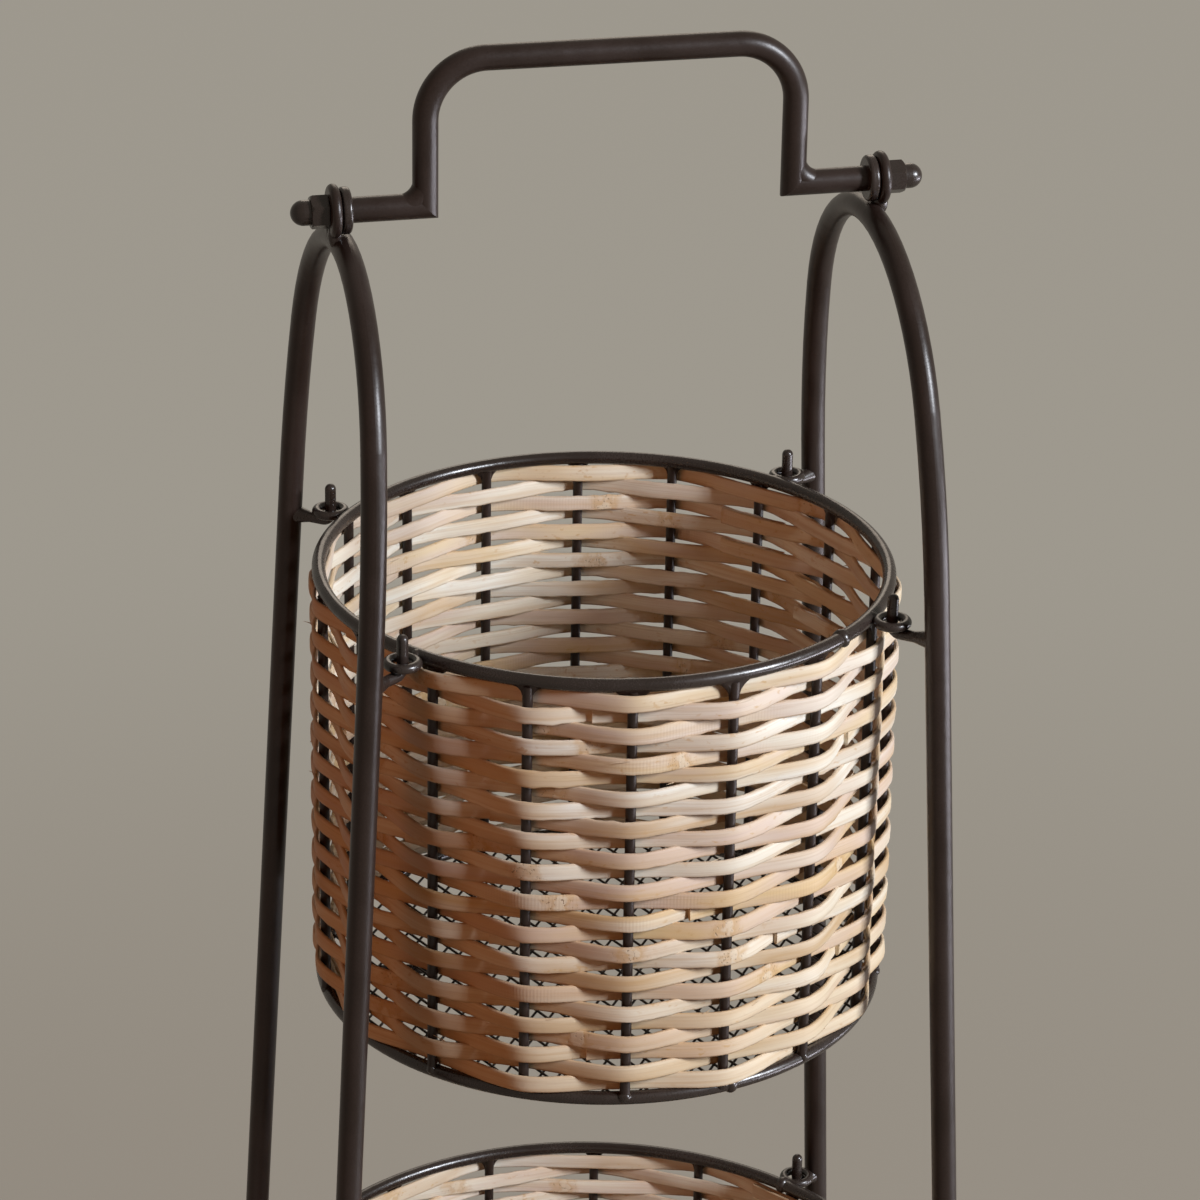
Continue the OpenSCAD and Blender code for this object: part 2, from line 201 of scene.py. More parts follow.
# %% A tree that nodes are added to
class Tree:
    """Adds nodes to a material's or a geometry node tree."""

    def __init__(self, tree):
        self.tree = tree

    def node(self, kind, settings=None, inputs=(), out=0):
        """Adds one node: its settings first, then its inputs by name or by number."""
        node = self.tree.nodes.new(kind)
        for name, value in (settings or {}).items():
            if name == "stops":
                self.set_stops(node.color_ramp, value)
            else:
                setattr(node, name, value)
        pairs = inputs.items() if isinstance(inputs, dict) else enumerate(inputs)
        for key, value in pairs:
            if isinstance(value, Socket):
                self.tree.links.new(value.out, node.inputs[key])
            elif value is not None:
                node.inputs[key].default_value = value
        return Socket(self, node.outputs[out])

    def more(self, socket, out):
        """Another output of the node that a socket belongs to."""
        return Socket(self, socket.out.node.outputs[out])

    def set_stops(self, ramp, stops):
        while len(ramp.elements) < len(stops):
            ramp.elements.new(1.0)
        for element, (place, colour) in zip(ramp.elements, stops):
            element.position = place
            element.color = (*colour, 1.0)

    def vector(self, x=0.0, y=0.0, z=0.0):
        return self.node("ShaderNodeCombineXYZ", None, [x, y, z])

    def parts(self, vector):
        """The X, Y and Z of a vector."""
        x = self.node("ShaderNodeSeparateXYZ", None, [vector])
        return x, self.more(x, 1), self.more(x, 2)

    def bump(self, strength, distance, height):
        """A normal that makes the surface look raised by a height from 0 to 1, times a distance in metres."""
        return self.node("ShaderNodeBump", None,
                         {"Strength": strength, "Distance": distance, "Height": height})

    def noise(self, vector, scale=1.0, detail=1.0, roughness=0.5):
        inputs = {"Vector": vector, "Scale": scale, "Detail": detail, "Roughness": roughness}
        return self.node("ShaderNodeTexNoise", None, inputs)

    def chance(self, number, seed):
        """An even random value from 0 to 1 for each whole number."""
        return self.node("ShaderNodeTexWhiteNoise", {"noise_dimensions": "1D"}, {"W": number + seed}, "Value")

    def blend(self, factor, first, second):
        """Mixes two colours, each of them a socket or a triple."""
        first, second = (c if isinstance(c, Socket) else (*c, 1.0) for c in (first, second))
        return self.node("ShaderNodeMix", {"data_type": "RGBA"}, {0: factor, 6: first, 7: second}, 2)

    def ramp(self, factor, stops):
        return self.node("ShaderNodeValToRGB", {"stops": stops}, [factor])


print("node helpers ready")


# %% Start a material, and start a geometry tree
def new_material(name):
    """A material with one Principled surface, its tree and that surface's node."""
    material = bpy.data.materials.new(name)
    material.use_nodes = True
    surface = material.node_tree.nodes["Principled BSDF"]
    return material, Tree(material.node_tree), surface


def plug(tree, socket, surface, name):
    """Links a socket to an input of the surface."""
    tree.tree.links.new(socket.out, surface.inputs[name])


def new_geometry(name, inputs):
    """A geometry tree with named inputs. Gives the tree and a dictionary of its inputs' sockets."""
    group = bpy.data.node_groups.new(name, "GeometryNodeTree")
    inputs = {"Start": "NodeSocketGeometry", **inputs}
    for label, kind in inputs.items():
        group.interface.new_socket(name=label, in_out="INPUT", socket_type=kind)
    group.interface.new_socket(name="Mesh", in_out="OUTPUT", socket_type="NodeSocketGeometry")
    tree = Tree(group)
    entry = group.nodes.new("NodeGroupInput")
    return tree, {label: Socket(tree, entry.outputs[label]) for label in inputs}


def close_geometry(tree, geometry, material):
    """Ends a tree: instances are made real, edges are smoothed and the material is set."""
    real = tree.node("GeometryNodeRealizeInstances", None, [geometry])
    smooth = tree.node("GeometryNodeSetShadeSmooth", None, {"Geometry": real, "Shade Smooth": True})
    painted = tree.node("GeometryNodeSetMaterial", None, {"Geometry": smooth, "Material": material})
    exit_node = tree.tree.nodes.new("NodeGroupOutput")
    tree.tree.links.new(painted.out, exit_node.inputs[0])


def grow(name, tree, values, points=(), start=None):
    """Runs a geometry tree with these input values and gives a plain mesh object.

    The tree's first input, Start, is a mesh of loose points, or a copy of the mesh of another piece."""
    start_mesh = start.data.copy() if start else bpy.data.meshes.new(name + "_host")
    if points:
        start_mesh.from_pydata(points, [], [])
    host = bpy.data.objects.new(name + "_host", start_mesh)
    scene.collection.objects.link(host)
    modifier = host.modifiers.new("grow", "NODES")
    modifier.node_group = tree.tree
    for item in tree.tree.interface.items_tree:
        if item.in_out == "INPUT" and item.name != "Start":
            modifier[item.identifier] = values[item.name]
    bpy.context.view_layer.update()
    evaluated = host.evaluated_get(bpy.context.evaluated_depsgraph_get())
    mesh = bpy.data.meshes.new_from_object(evaluated)
    bpy.data.objects.remove(host)
    piece = bpy.data.objects.new(name, mesh)
    mesh.name = name
    scene.collection.objects.link(piece)
    print(name, len(mesh.vertices), "points,", sum(len(p.vertices) - 2 for p in mesh.polygons), "triangles")
    return piece


# %% [markdown]
# ## Bronze-coated steel
# The bars are mild steel with a dark, brown-black bronze coat. It is satin, not even: the coat lies a
# little thicker in places, so the highlight breaks up, and a grey bloom lies over the brown. A faint
# colour change and two sizes of bump, all read from the place on the object, are enough for that. The
# coat is made twice: the welded fittings and the rims have it a little glossier and more uneven.


# %% The bronze coat
CLOUDS, SWELLS, SPECKLES = 28.0, 120.0, 1100.0
COAT_RELIEF = 0.6 * MM


def make_bronze(name, dark, light, roughness, gloss, wave):
    """A satin metal coat. CLOUDS, SWELLS and SPECKLES say how many of each lie in a metre."""
    material, tree, surface = new_material(name)
    place = tree.node("ShaderNodeTexCoord", out="Object")
    cloud = tree.noise(place, CLOUDS, 3.0)
    speckle = tree.noise(place, SPECKLES, 2.0)
    tone = (cloud * 0.7 + speckle * 0.3).step(0.34, 0.66)
    plug(tree, tree.blend(tone, dark, light), surface, "Base Color")
    plug(tree, roughness + 0.12 * (cloud - 0.5) + 0.10 * (speckle - 0.5), surface, "Roughness")
    height = tree.noise(place, SWELLS) * 0.85 + speckle * 0.15
    plug(tree, tree.bump(wave, COAT_RELIEF, height), surface, "Normal")
    surface.inputs["Specular IOR Level"].default_value = gloss
    return material


bronze = make_bronze("bronze_coat", dark=(0.018, 0.010, 0.007), light=(0.031, 0.020, 0.016),
                     roughness=0.35, gloss=0.36, wave=0.35)
weld_bronze = make_bronze("weld_coat", dark=(0.018, 0.011, 0.008), light=(0.031, 0.021, 0.017),
                          roughness=0.27, gloss=0.55, wave=0.45)
print("made", bronze.name, "and", weld_bronze.name)

# %% [markdown]
# ## Glide plastic
# The legs stand in small black moulded caps. They are matt, with the fine grain of a moulding.

# %% The glides' plastic
MOULD_GRAINS = 1500.0
glide_plastic, tree, surface = new_material("glide_plastic")
grain = tree.noise(tree.node("ShaderNodeTexCoord", out="Object"), MOULD_GRAINS, 2.0)
plug(tree, tree.blend(grain, (0.016, 0.016, 0.017), (0.030, 0.030, 0.031)), surface, "Base Color")
plug(tree, tree.bump(0.3, 0.2 * MM, grain), surface, "Normal")
surface.inputs["Roughness"].default_value = 0.62
print("made", glide_plastic.name)

# %% [markdown]
# ## Split rattan
# Each strip is split from a cane, so its grain runs along it, and each strip has its own tone, from
# ivory to a pinkish beige and to honey. On top of that the upper rows are painted creamier, as painted light,
# and the lower rows more honey, as painted shade where the light falls off downwards. Where a cane had a node
# the strip is stained ochre, and the node itself is pale, rough and cracked across. Some strips show fine
# cross ribs from the splitting knife. All of this follows the strip, so the colours are read from values
# that the weave stores on it: how far along the strip a point is, how far across, one random number for
# the strip, and how low its row is, from 0 at the upper rim to 1 at the lower.

# %% What happens along a strip
NODE_DISTANCE = 370 * MM
RIB_DISTANCE = 1.4 * MM
NUMBER_STEP = 71.0


def read_strip(tree):
    """What the weave stores: metres along and across, the strip's own number, and how low it is."""
    return [tree.node("ShaderNodeAttribute", {"attribute_name": name}, out="Fac")
            for name in ("along", "across", "strip", "low")]


def cane_noise(tree, spot, lengthwise, crosswise, shift, detail=2.0, roughness=0.5):
    """Noise that follows a strip, with so many waves in a metre along it and across it."""
    along, across, strip = spot
    place = tree.vector(along * lengthwise, across * crosswise, strip * NUMBER_STEP + shift)
    return tree.noise(place, 1.0, detail, roughness)


def knife_ribs(tree, along, strip):
    """Fine ribs across the strip, on about a third of the strips."""
    wave = (along * (FULL_TURN / RIB_DISTANCE)).sin() * 0.5 + 0.5
    fade = tree.noise(tree.vector(along * 28.0, strip * 50.0, 0.0)).step(0.48, 0.62)
    return wave * fade * ((strip * 7.0) % 1.0).above(0.68)


# %% The rattan's own colours
IVORY, CREAM = (0.78, 0.70, 0.56), (0.83, 0.79, 0.69)
PINK, TAN, OCHRE = (0.64, 0.49, 0.39), (0.55, 0.38, 0.22), (0.56, 0.34, 0.14)
HONEY = (0.67, 0.48, 0.25)
BARK, SPECK = (0.44, 0.27, 0.13), (0.12, 0.05, 0.02)
CANE_TONES = [(0.04, CREAM), (0.18, IVORY), (0.29, PINK), (0.38, HONEY), (0.49, CREAM),
              (0.60, TAN), (0.70, IVORY), (0.80, PINK), (0.94, HONEY)]


def strip_colour_and_painted_shade(tree, spot, low, patch, grain, streak):
    """Each strip's own tone, which drifts a little along it, with faint lines along the grain, and painted
    light on the upper rows and painted shade on the lower ones.
    """
    base = tree.ramp(spot[2] * 0.80 + patch * 0.50 - 0.15, CANE_TONES)
    # Painted light: the upper rows are mixed towards cream, as if more brightly lit.
    base = tree.blend((1.0 - low.step(0.05, 0.50)) * 0.28, base, CREAM)
    # Painted shade: the lower rows are mixed towards honey, where the light falls off downwards.
    base = tree.blend(low.step(0.35, 0.95) * 0.42, base, HONEY)
    lined = tree.blend((streak - 0.47) * 1.5, base, OCHRE)
    return tree.blend((0.49 - grain) * 1.5, lined, BARK)


def cane_scars(tree, spot):
    """How much a point belongs to the ochre edge, the pale heart and the dark specks of a node's scar."""
    place = spot[0] / NODE_DISTANCE + spot[2] * NUMBER_STEP
    to_node = ((place % 1.0) - 0.5).absolute() * NODE_DISTANCE
    away = to_node + (cane_noise(tree, spot, 190.0, 190.0, 3.0) - 0.5) * (16 * MM)
    stain = 1.0 - away.step(2 * MM, 9 * MM)
    heart = 1.0 - away.step(0.4 * MM, 3 * MM)
    specks = cane_noise(tree, spot, 1300.0, 800.0, 5.0, 1.0).step(0.62, 0.74) * stain
    return stain, heart, specks


# %% The rattan
def make_rattan(name):
    """Cane with its grain, node scars, freckles, knife ribs and darker edges, and painted light and shade
    from the upper to the lower rows.
    """
    material, tree, surface = new_material(name)
    along, across, strip, low = read_strip(tree)
    spot = (along, across, strip)
    patch = cane_noise(tree, spot, 11.0, 60.0, 13.0)
    streak = cane_noise(tree, spot, 9.0, 420.0, 9.0)
    grain = cane_noise(tree, spot, 24.0, 1300.0, 0.0, 3.0, 0.6)
    mottle = cane_noise(tree, spot, 260.0, 420.0, 21.0).step(0.60, 0.72)
    stain, heart, specks = cane_scars(tree, spot)
    ribs = knife_ribs(tree, along, strip)
    edge = (across.absolute() + (grain - 0.5) * MM).step(2.8 * MM, 3.7 * MM)
    colour = strip_colour_and_painted_shade(tree, spot, low, patch, grain, streak)
    freckles = mottle * patch.step(0.48, 0.62)
    for share, layer in ((stain * 0.60, OCHRE), (heart * 0.50, IVORY), (specks * 0.55, SPECK),
                         (freckles * 0.60, OCHRE), (ribs * 0.09, BARK), (edge * 0.42, BARK)):
        colour = tree.blend(share, colour, layer)
    plug(tree, colour, surface, "Base Color")
    plug(tree, 0.44 + 0.22 * grain + stain * 0.12, surface, "Roughness")
    height = grain * 0.30 + streak * 0.30 - specks * 0.6 + ribs * 0.12 + heart * 0.25 + mottle * 0.04
    plug(tree, tree.bump(0.65, 0.3 * MM, height), surface, "Normal")
    surface.inputs["Specular IOR Level"].default_value = 0.4
    return material


rattan = make_rattan("rattan_strip")
print("made", rattan.name)

# %% [markdown]
# ## The weave
# A basket maker weaves each strip in front of one stave and behind the next, and every other row goes the
# other way. The shape follows that rule, so a geometry tree makes it. It starts from one straight line of
# points for each row. Each point's place in the row, counted in staves, says between which two crossings
# it lies. Half a cosine wave leads from the one to the other, because stiff cane hugs a stave and then
# changes sides quickly. A little blur rounds the folds. Each strip is longer than its row: its two ends
# lap behind a stave.


# %% The weave's tree
STEPS_PER_SPAN = 12
LAP_STEPS = 5
# A row's unevenness up and down, and in and out: its waves in a metre, and its size in the given measure
LIFT_WAVES, LIFT_SIZE = 14.0, 4.0
SPREAD_WAVES, SPREAD_SIZE = 22.0, 2.0
# The share of the change of sides that is even, while a cosine wave makes the rest
EVEN_CHANGE = 0.2
# Where the lap at a strip's end begins, in staves before the end, and how deep it tucks, in thicknesses
LAP_START, LAP_END, LAP_DEPTH = 0.9, 0.4, 1.1

weave_tree, given = new_geometry("weave", {
    "Rows": "NodeSocketInt", "Staves": "NodeSocketInt", "Points": "NodeSocketInt",
    "Stave circle": "NodeSocketFloat", "First stave": "NodeSocketFloat", "Outer fold": "NodeSocketFloat",
    "Inner fold": "NodeSocketFloat", "Top": "NodeSocketFloat", "Row pitch": "NodeSocketFloat",
    "Strip width": "NodeSocketFloat", "Strip thickness": "NodeSocketFloat", "Unevenness": "NodeSocketFloat",
    "Lean": "NodeSocketFloat", "Pull": "NodeSocketFloat", "Ragged": "NodeSocketFloat",
    "Seed": "NodeSocketFloat", "Material": "NodeSocketMaterial"})


def row_lines(tree, given):
    """A straight line of points for each row, and the numbers of row and point."""
    line = tree.node("GeometryNodeCurvePrimitiveLine", None, {"End": (1.0, 0.0, 0.0)})
    dotted = tree.node("GeometryNodeResampleCurve", {"mode": "COUNT"},
                       {"Curve": line, "Count": given["Points"]})
    rows = tree.node("GeometryNodeDuplicateElements", {"domain": "SPLINE"},
                     {"Geometry": dotted, "Amount": given["Rows"]})
    return rows, tree.more(rows, "Duplicate Index"), tree.node("GeometryNodeSplineParameter", out="Index")


def crossing_radius(given, number, row):
    """How far out the middle of the strip lies where it crosses a stave, outside it or inside it."""
    inside = (number + row) % 2.0
    return given["Stave circle"] + given["Outer fold"] - inside * (given["Outer fold"] + given["Inner fold"])


def woven_radius(given, place, row):
    """How far out the strip lies between two crossings: it changes sides, and is pulled in a little."""
    number = place.floor()
    share = place - number
    wave = 0.5 - (share * math.pi).cos() * 0.5
    change = share * EVEN_CHANGE + wave * (1.0 - EVEN_CHANGE)
    near, far = crossing_radius(given, number, row), crossing_radius(given, number + 1.0, row)
    return near + (far - near) * change - (share * math.pi).sin() * given["Pull"]


def row_noise(tree, given, row, x, y, row_step):
    """A slow change round a row, from -0.5 to 0.5, that differs from row to row."""
    return tree.noise(tree.vector(x, y, row * row_step + given["Seed"])) - 0.5


def strip_path(tree, given):
    """One curve for each row, already on its way in and out between the staves."""
    rows, row, point = row_lines(tree, given)
    start = (tree.chance(row, given["Seed"]) * given["Staves"] / 2.0).floor() * 2.0 + 1.0 - row
    place = start + (point - LAP_STEPS) / STEPS_PER_SPAN
    radius = woven_radius(given, place, row)
    angle = given["First stave"] + place * (FULL_TURN / given["Staves"])
    x, y = radius * angle.cos(), radius * angle.sin()
    lift = row_noise(tree, given, row, x * LIFT_WAVES, y * LIFT_WAVES, 3.7)
    spread = row_noise(tree, given, row, x * SPREAD_WAVES, y * SPREAD_WAVES, 5.1)
    lap = (place - start - given["Staves"] + LAP_START).step(0.0, LAP_START - LAP_END)
    outward = spread * given["Unevenness"] * SPREAD_SIZE - lap * given["Strip thickness"] * LAP_DEPTH
    wider = 1.0 + outward / given["Stave circle"]
    z = given["Top"] - (row + 0.5) * given["Row pitch"] + lift * given["Unevenness"] * LIFT_SIZE
    woven = tree.node("GeometryNodeSetPosition", None,
                      {"Geometry": rows, "Position": tree.vector(x * wider, y * wider, z)})
    rounded = tree.node("GeometryNodeBlurAttribute", {"data_type": "FLOAT_VECTOR"},
                        {"Value": tree.node("GeometryNodeInputPosition"), "Iterations": 1, "Weight": 0.6})
    return tree.node("GeometryNodeSetPosition", None, {"Geometry": woven, "Position": rounded}), row, place


def store(tree, geometry, name, value):
    """Keeps a value on every point under a name that the material reads."""
    return tree.node("GeometryNodeStoreNamedAttribute", {"data_type": "FLOAT", "domain": "POINT"},
                     {"Geometry": geometry, "Name": name, "Value": value})


def finished_path(tree, given, curves, row, place):
    """The curves with the values that the material reads, each leaning in or out a little."""
    span_length = given["Stave circle"] * FULL_TURN / given["Staves"]
    curves = store(tree, curves, "along", place * span_length)
    curves = store(tree, curves, "strip", tree.chance(row, given["Seed"] + 40.5))
    curves = store(tree, curves, "low", row / given["Rows"])
    curves = tree.node("GeometryNodeSetCurveNormal", {"mode": "Z_UP"}, {"Curve": curves})
    lean = tree.noise(tree.vector(place * 0.6, row * 6.1 + given["Seed"], 7.0)) - 0.5
    return tree.node("GeometryNodeSetCurveTilt", None, {"Curve": curves, "Tilt": lean * given["Lean"]})


paths, row, place = strip_path(weave_tree, given)
paths = finished_path(weave_tree, given, paths, row, place)
print("strip paths laid")

# %% [markdown]
# A split cane is flat, but its edges are soft and its face has a slight crown. A circle pressed into a
# squarish oval gives such a section with only 16 points: each coordinate of the circle is replaced by its
# square root, which moves the points out to the corners, and is then stretched to the strip's size. The
# width of the strip changes along it, and noise draws its edges in here and there, as where it split.

# %% The strip's section, swept along its path
SECTION_POINTS = 16
NARROWEST, WIDTH_CHANGE = 0.80, 0.36
TEARS = 210.0


def squared_oval(tree, thickness, width):
    """A closed curve with a flat face and soft corners, that keeps how far across each point lies."""
    circle = tree.node("GeometryNodeCurvePrimitiveCircle", {"mode": "RADIUS"},
                       {"Resolution": SECTION_POINTS, "Radius": 1.0})
    x, y = tree.parts(tree.node("GeometryNodeInputPosition"))[:2]
    square_x, square_y = ((side.above(0.0) * 2.0 - 1.0) * side.absolute() ** 0.5 for side in (x, y))
    place = tree.vector(square_x * thickness / 2.0, square_y * width / 2.0)
    section = tree.node("GeometryNodeSetPosition", None, {"Geometry": circle, "Position": place})
    across = tree.parts(tree.node("GeometryNodeInputPosition"))[1]
    return store(tree, section, "across", across)


def read_across(tree):
    """The stored distance across the strip."""
    return tree.node("GeometryNodeInputNamedAttribute", {"data_type": "FLOAT"}, {"Name": "across"})


def swept_strips(tree, given, paths, row, place):
    """The section swept along each path, wider and narrower by turns."""
    section = squared_oval(tree, given["Strip thickness"], given["Strip width"])
    width = tree.noise(tree.vector(place * 0.5, row * 4.3 + given["Seed"], 0.0), 1.0, 2.0)
    return tree.node("GeometryNodeCurveToMesh", None,
                     {"Curve": paths, "Profile Curve": section, "Scale": NARROWEST + width * WIDTH_CHANGE,
                      "Fill Caps": True})


def torn_edges(tree, given, strips, row, place):
    """Draws the edges in where a strip split badly, more in some stretches than in others."""
    worse = tree.noise(tree.vector(place * 0.8, row * 3.3 + given["Seed"], 3.0)).step(0.45, 0.62)
    dents = (tree.noise(tree.node("GeometryNodeInputPosition"), TEARS, 3.0, 0.6) - 0.5).least(0.05)
    tear = dents * (worse * 1.6 + 0.5) * read_across(tree) * given["Ragged"]
    return tree.node("GeometryNodeSetPosition", None,
                     {"Geometry": strips, "Offset": tree.vector(0.0, 0.0, tear)})


strips = swept_strips(weave_tree, given, paths, row, place)
strips = torn_edges(weave_tree, given, strips, row, place)
close_geometry(weave_tree, strips, given["Material"])
print("weave tree has", len(weave_tree.tree.nodes), "nodes")


# %% Weave the three walls
OUTER_SLACK, INNER_SLACK = 0.4 * MM, 0.2 * MM


def weave_values(tier, seed):
    """What the weave's tree is given for one basket."""
    sizes = baskets[tier]
    top = sizes["top"] - sizes["rod_radius"] - STRIP_CLEARANCE
    bottom = sizes["bottom"] + sizes["rod_radius"] + STRIP_CLEARANCE
    fold = STAVE_RADIUS + STRIP_CLEARANCE + STRIP_THICKNESS / 2
    return {
        "Rows": ROWS, "Staves": STAVES, "Points": STAVES * STEPS_PER_SPAN + 2 * LAP_STEPS + 1,
        "Stave circle": sizes["rim_radius"] + STAVE_RADIUS / 2,
        "First stave": math.radians(FIRST_STAVE[tier]),
        "Outer fold": fold + OUTER_SLACK, "Inner fold": fold + INNER_SLACK,
        "Top": top, "Row pitch": (top - bottom) / ROWS,
        "Strip width": STRIP_WIDTH, "Strip thickness": STRIP_THICKNESS, "Unevenness": 0.6 * MM,
        "Lean": 0.5, "Pull": 1.2 * MM, "Ragged": 0.36, "Seed": seed, "Material": rattan}


walls = {}
for tier, seed in zip(TIERS, (3.0, 11.0, 27.0)):
    walls[tier] = grow(f"{tier}_basket_strips", weave_tree, weave_values(tier, seed))
    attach(walls[tier], f"{tier}_basket")
    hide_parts(f"{tier}_basket_weave")

# %% [markdown]
# ## Splinters
# Split cane frays: here and there a thin sliver stands off the edge of a strip. One sliver is drawn as a
# short bent curve that gets thinner to its end. Points are scattered over the edges of the strips, which
# the weave's own value for the distance across picks out, and each gets a sliver. It lies along the
# strip, so it is turned by its place around the basket, and then by a little chance.

# %% The splinters' tree
fray_tree, given = new_geometry("splinters", {
    "Edge": "NodeSocketFloat", "Density": "NodeSocketFloat", "Length": "NodeSocketFloat",
    "Thickness": "NodeSocketFloat", "Seed": "NodeSocketInt", "Material": "NodeSocketMaterial"})


def one_splinter(tree, given):
    """A bent sliver along X, one unit long, that gets thinner to its end."""
    bend = {"Resolution": 4, "Start": (0.0, 0.0, 0.0), "Middle": (0.5, 0.0, 0.03), "End": (1.0, 0.10, 0.16)}
    curve = tree.node("GeometryNodeCurveQuadraticBezier", None, bend)
    profile = tree.node("GeometryNodeCurvePrimitiveCircle", {"mode": "RADIUS"},
                        {"Resolution": 4, "Radius": given["Thickness"] / given["Length"]})
    thinner = 1.0 - tree.node("GeometryNodeSplineParameter", out="Factor") * 0.85
    return tree.node("GeometryNodeCurveToMesh", None,
                     {"Curve": curve, "Profile Curve": profile, "Scale": thinner, "Fill Caps": True})


def frayed_edges(tree, given):
    """Slivers on points of the strips' edges, each with a length and a turn of its own."""
    spots = tree.node("GeometryNodeDistributePointsOnFaces", {"distribute_method": "RANDOM"},
                      {"Mesh": given["Start"], "Selection": read_across(tree).absolute().above(given["Edge"]),
                       "Density": given["Density"], "Seed": given["Seed"]})
    x, y = tree.parts(tree.node("GeometryNodeInputPosition"))[:2]
    number = tree.node("GeometryNodeInputIndex")
    way, skew, roll, length = (tree.chance(number, 3.5 + i) for i in range(4))
    heading = y.bearing(x) + math.pi / 2 + way.above(0.5) * math.pi + (skew - 0.5) * 0.3
    turned = tree.vector((roll - 0.5) * 3.0, (skew - 0.5) * 0.5, heading)
    size = tree.vector(given["Length"] * (0.35 + length * 0.9), given["Length"], given["Length"])
    return tree.node("GeometryNodeInstanceOnPoints", None,
                     {"Points": spots, "Instance": one_splinter(tree, given), "Rotation": turned,
                      "Scale": size})


close_geometry(fray_tree, frayed_edges(fray_tree, given), given["Material"])
print("splinter tree has", len(fray_tree.tree.nodes), "nodes")

# %% Fray the strips
for tier, seed in zip(TIERS, (4, 9, 15)):
    splinters = grow(f"{tier}_basket_splinters", fray_tree,
                     {"Edge": 2.6 * MM, "Density": 900.0, "Length": 7.0 * MM, "Thickness": 0.30 * MM,
                      "Seed": seed, "Material": rattan}, start=walls[tier])
    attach(splinters, f"{tier}_basket")

# %% [markdown]
# ## Mesh floors
# The floor of each basket is a mesh of thin wires: two families of straight wires cross at a slant, and
# every wire ends on the rim rod. One tree lays both. It copies a straight line once for each wire, moves
# it sideways by its distance from the middle, and makes it as long as the circle is wide there. The
# second family lies on the first.

# %% The floors' tree
floor_tree, given = new_geometry("mesh_floor", {
    "Wires": "NodeSocketInt", "Reach": "NodeSocketFloat", "First turn": "NodeSocketFloat",
    "Second turn": "NodeSocketFloat", "Wire": "NodeSocketFloat", "Height": "NodeSocketFloat",
    "Material": "NodeSocketMaterial"})


def mesh_wires(tree, given):
    """The middle lines of all the wires."""
    line = tree.node("GeometryNodeCurvePrimitiveLine", None,
                     {"Start": (-1.0, 0.0, 0.0), "End": (1.0, 0.0, 0.0)})
    wires = tree.node("GeometryNodeDuplicateElements", {"domain": "SPLINE"},
                      {"Geometry": line, "Amount": given["Wires"] * 2})
    number = tree.more(wires, "Duplicate Index")
    second = (number / given["Wires"]).floor()
    aside = ((number - second * given["Wires"] + 0.5) / given["Wires"] * 2.0 - 1.0) * given["Reach"]
    half = (given["Reach"] * given["Reach"] - aside * aside).most(0.0) ** 0.5
    end = tree.parts(tree.node("GeometryNodeInputPosition"))[0] * half
    turn = given["First turn"] + (given["Second turn"] - given["First turn"]) * second
    x = end * turn.cos() - aside * turn.sin()
    y = end * turn.sin() + aside * turn.cos()
    z = given["Height"] + second * given["Wire"] * 0.8
    return tree.node("GeometryNodeSetPosition", None, {"Geometry": wires, "Position": tree.vector(x, y, z)})


wire_round = floor_tree.node("GeometryNodeCurvePrimitiveCircle", {"mode": "RADIUS"},
                             {"Resolution": 8, "Radius": given["Wire"] / 2.0})
wires = floor_tree.node("GeometryNodeCurveToMesh", None,
                        {"Curve": mesh_wires(floor_tree, given), "Profile Curve": wire_round,
                         "Fill Caps": True})
close_geometry(floor_tree, wires, given["Material"])
print("floor tree has", len(floor_tree.tree.nodes), "nodes")

# %% Lay the three floors
MESH_PITCH = 7.4 * MM
MESH_WIRE = 1.2 * MM
MESH_TURNS = (56.0, -68.0)
MESH_OVERLAP = 0.2 * MM
for tier in TIERS:
    sizes = baskets[tier]
    reach = sizes["rim_radius"] - sizes["rod_radius"] + MESH_OVERLAP
    first_turn, second_turn = (math.radians(turn) for turn in MESH_TURNS)
    mesh_floor = grow(f"{tier}_basket_mesh", floor_tree,
                      {"Wires": round(2 * reach / MESH_PITCH), "Reach": reach, "First turn": first_turn,
                       "Second turn": second_turn, "Wire": MESH_WIRE,
                       "Height": sizes["bottom"] + MESH_WIRE / 2, "Material": bronze})
    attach(mesh_floor, f"{tier}_basket")
    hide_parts(f"{tier}_basket_floor")

# %% [markdown]
# ## Weld beads
# The frame is welded by hand, and the beads catch the light: a drop at the foot of every stave, a blob
# on each side where a ring meets its rim, a collar where the ends of a rim rod meet, and two tears under
# each eye. A tree puts one small ball on each of a list of points, presses it to the size of the bead,
# turns it to face away from the middle of the caddy, and dents it with noise so that no two are alike.

# %% The beads' tree
DENTS_IN_A_METRE = 420.0

bead_tree, given = new_geometry("weld_beads", {
    "Outward": "NodeSocketFloat", "Around": "NodeSocketFloat", "Upward": "NodeSocketFloat",
    "Dents": "NodeSocketFloat", "Material": "NodeSocketMaterial"})


def facing_out(tree):
    """The turn of an instance that makes its X axis point away from the Z axis."""
    x, y = tree.parts(tree.node("GeometryNodeInputPosition"))[:2]
    return tree.vector(0.0, 0.0, y.bearing(x))


def bead_shapes(tree, given):
    """A small ball on every point, pressed to the bead's size, no two quite alike."""
    ball = tree.node("GeometryNodeMeshIcoSphere", None, {"Radius": 1.0, "Subdivisions": 3})
    number = tree.node("GeometryNodeInputIndex")
    stout, wide = (tree.chance(number, 0.5 + i) * 0.4 + 0.8 for i in range(2))
    pressed = tree.vector(given["Outward"] * stout, given["Around"] * wide, given["Upward"] * stout)
    balls = tree.node("GeometryNodeInstanceOnPoints", None,
                      {"Points": given["Start"], "Instance": ball, "Rotation": facing_out(tree),
                       "Scale": pressed})
    return tree.node("GeometryNodeRealizeInstances", None, [balls])


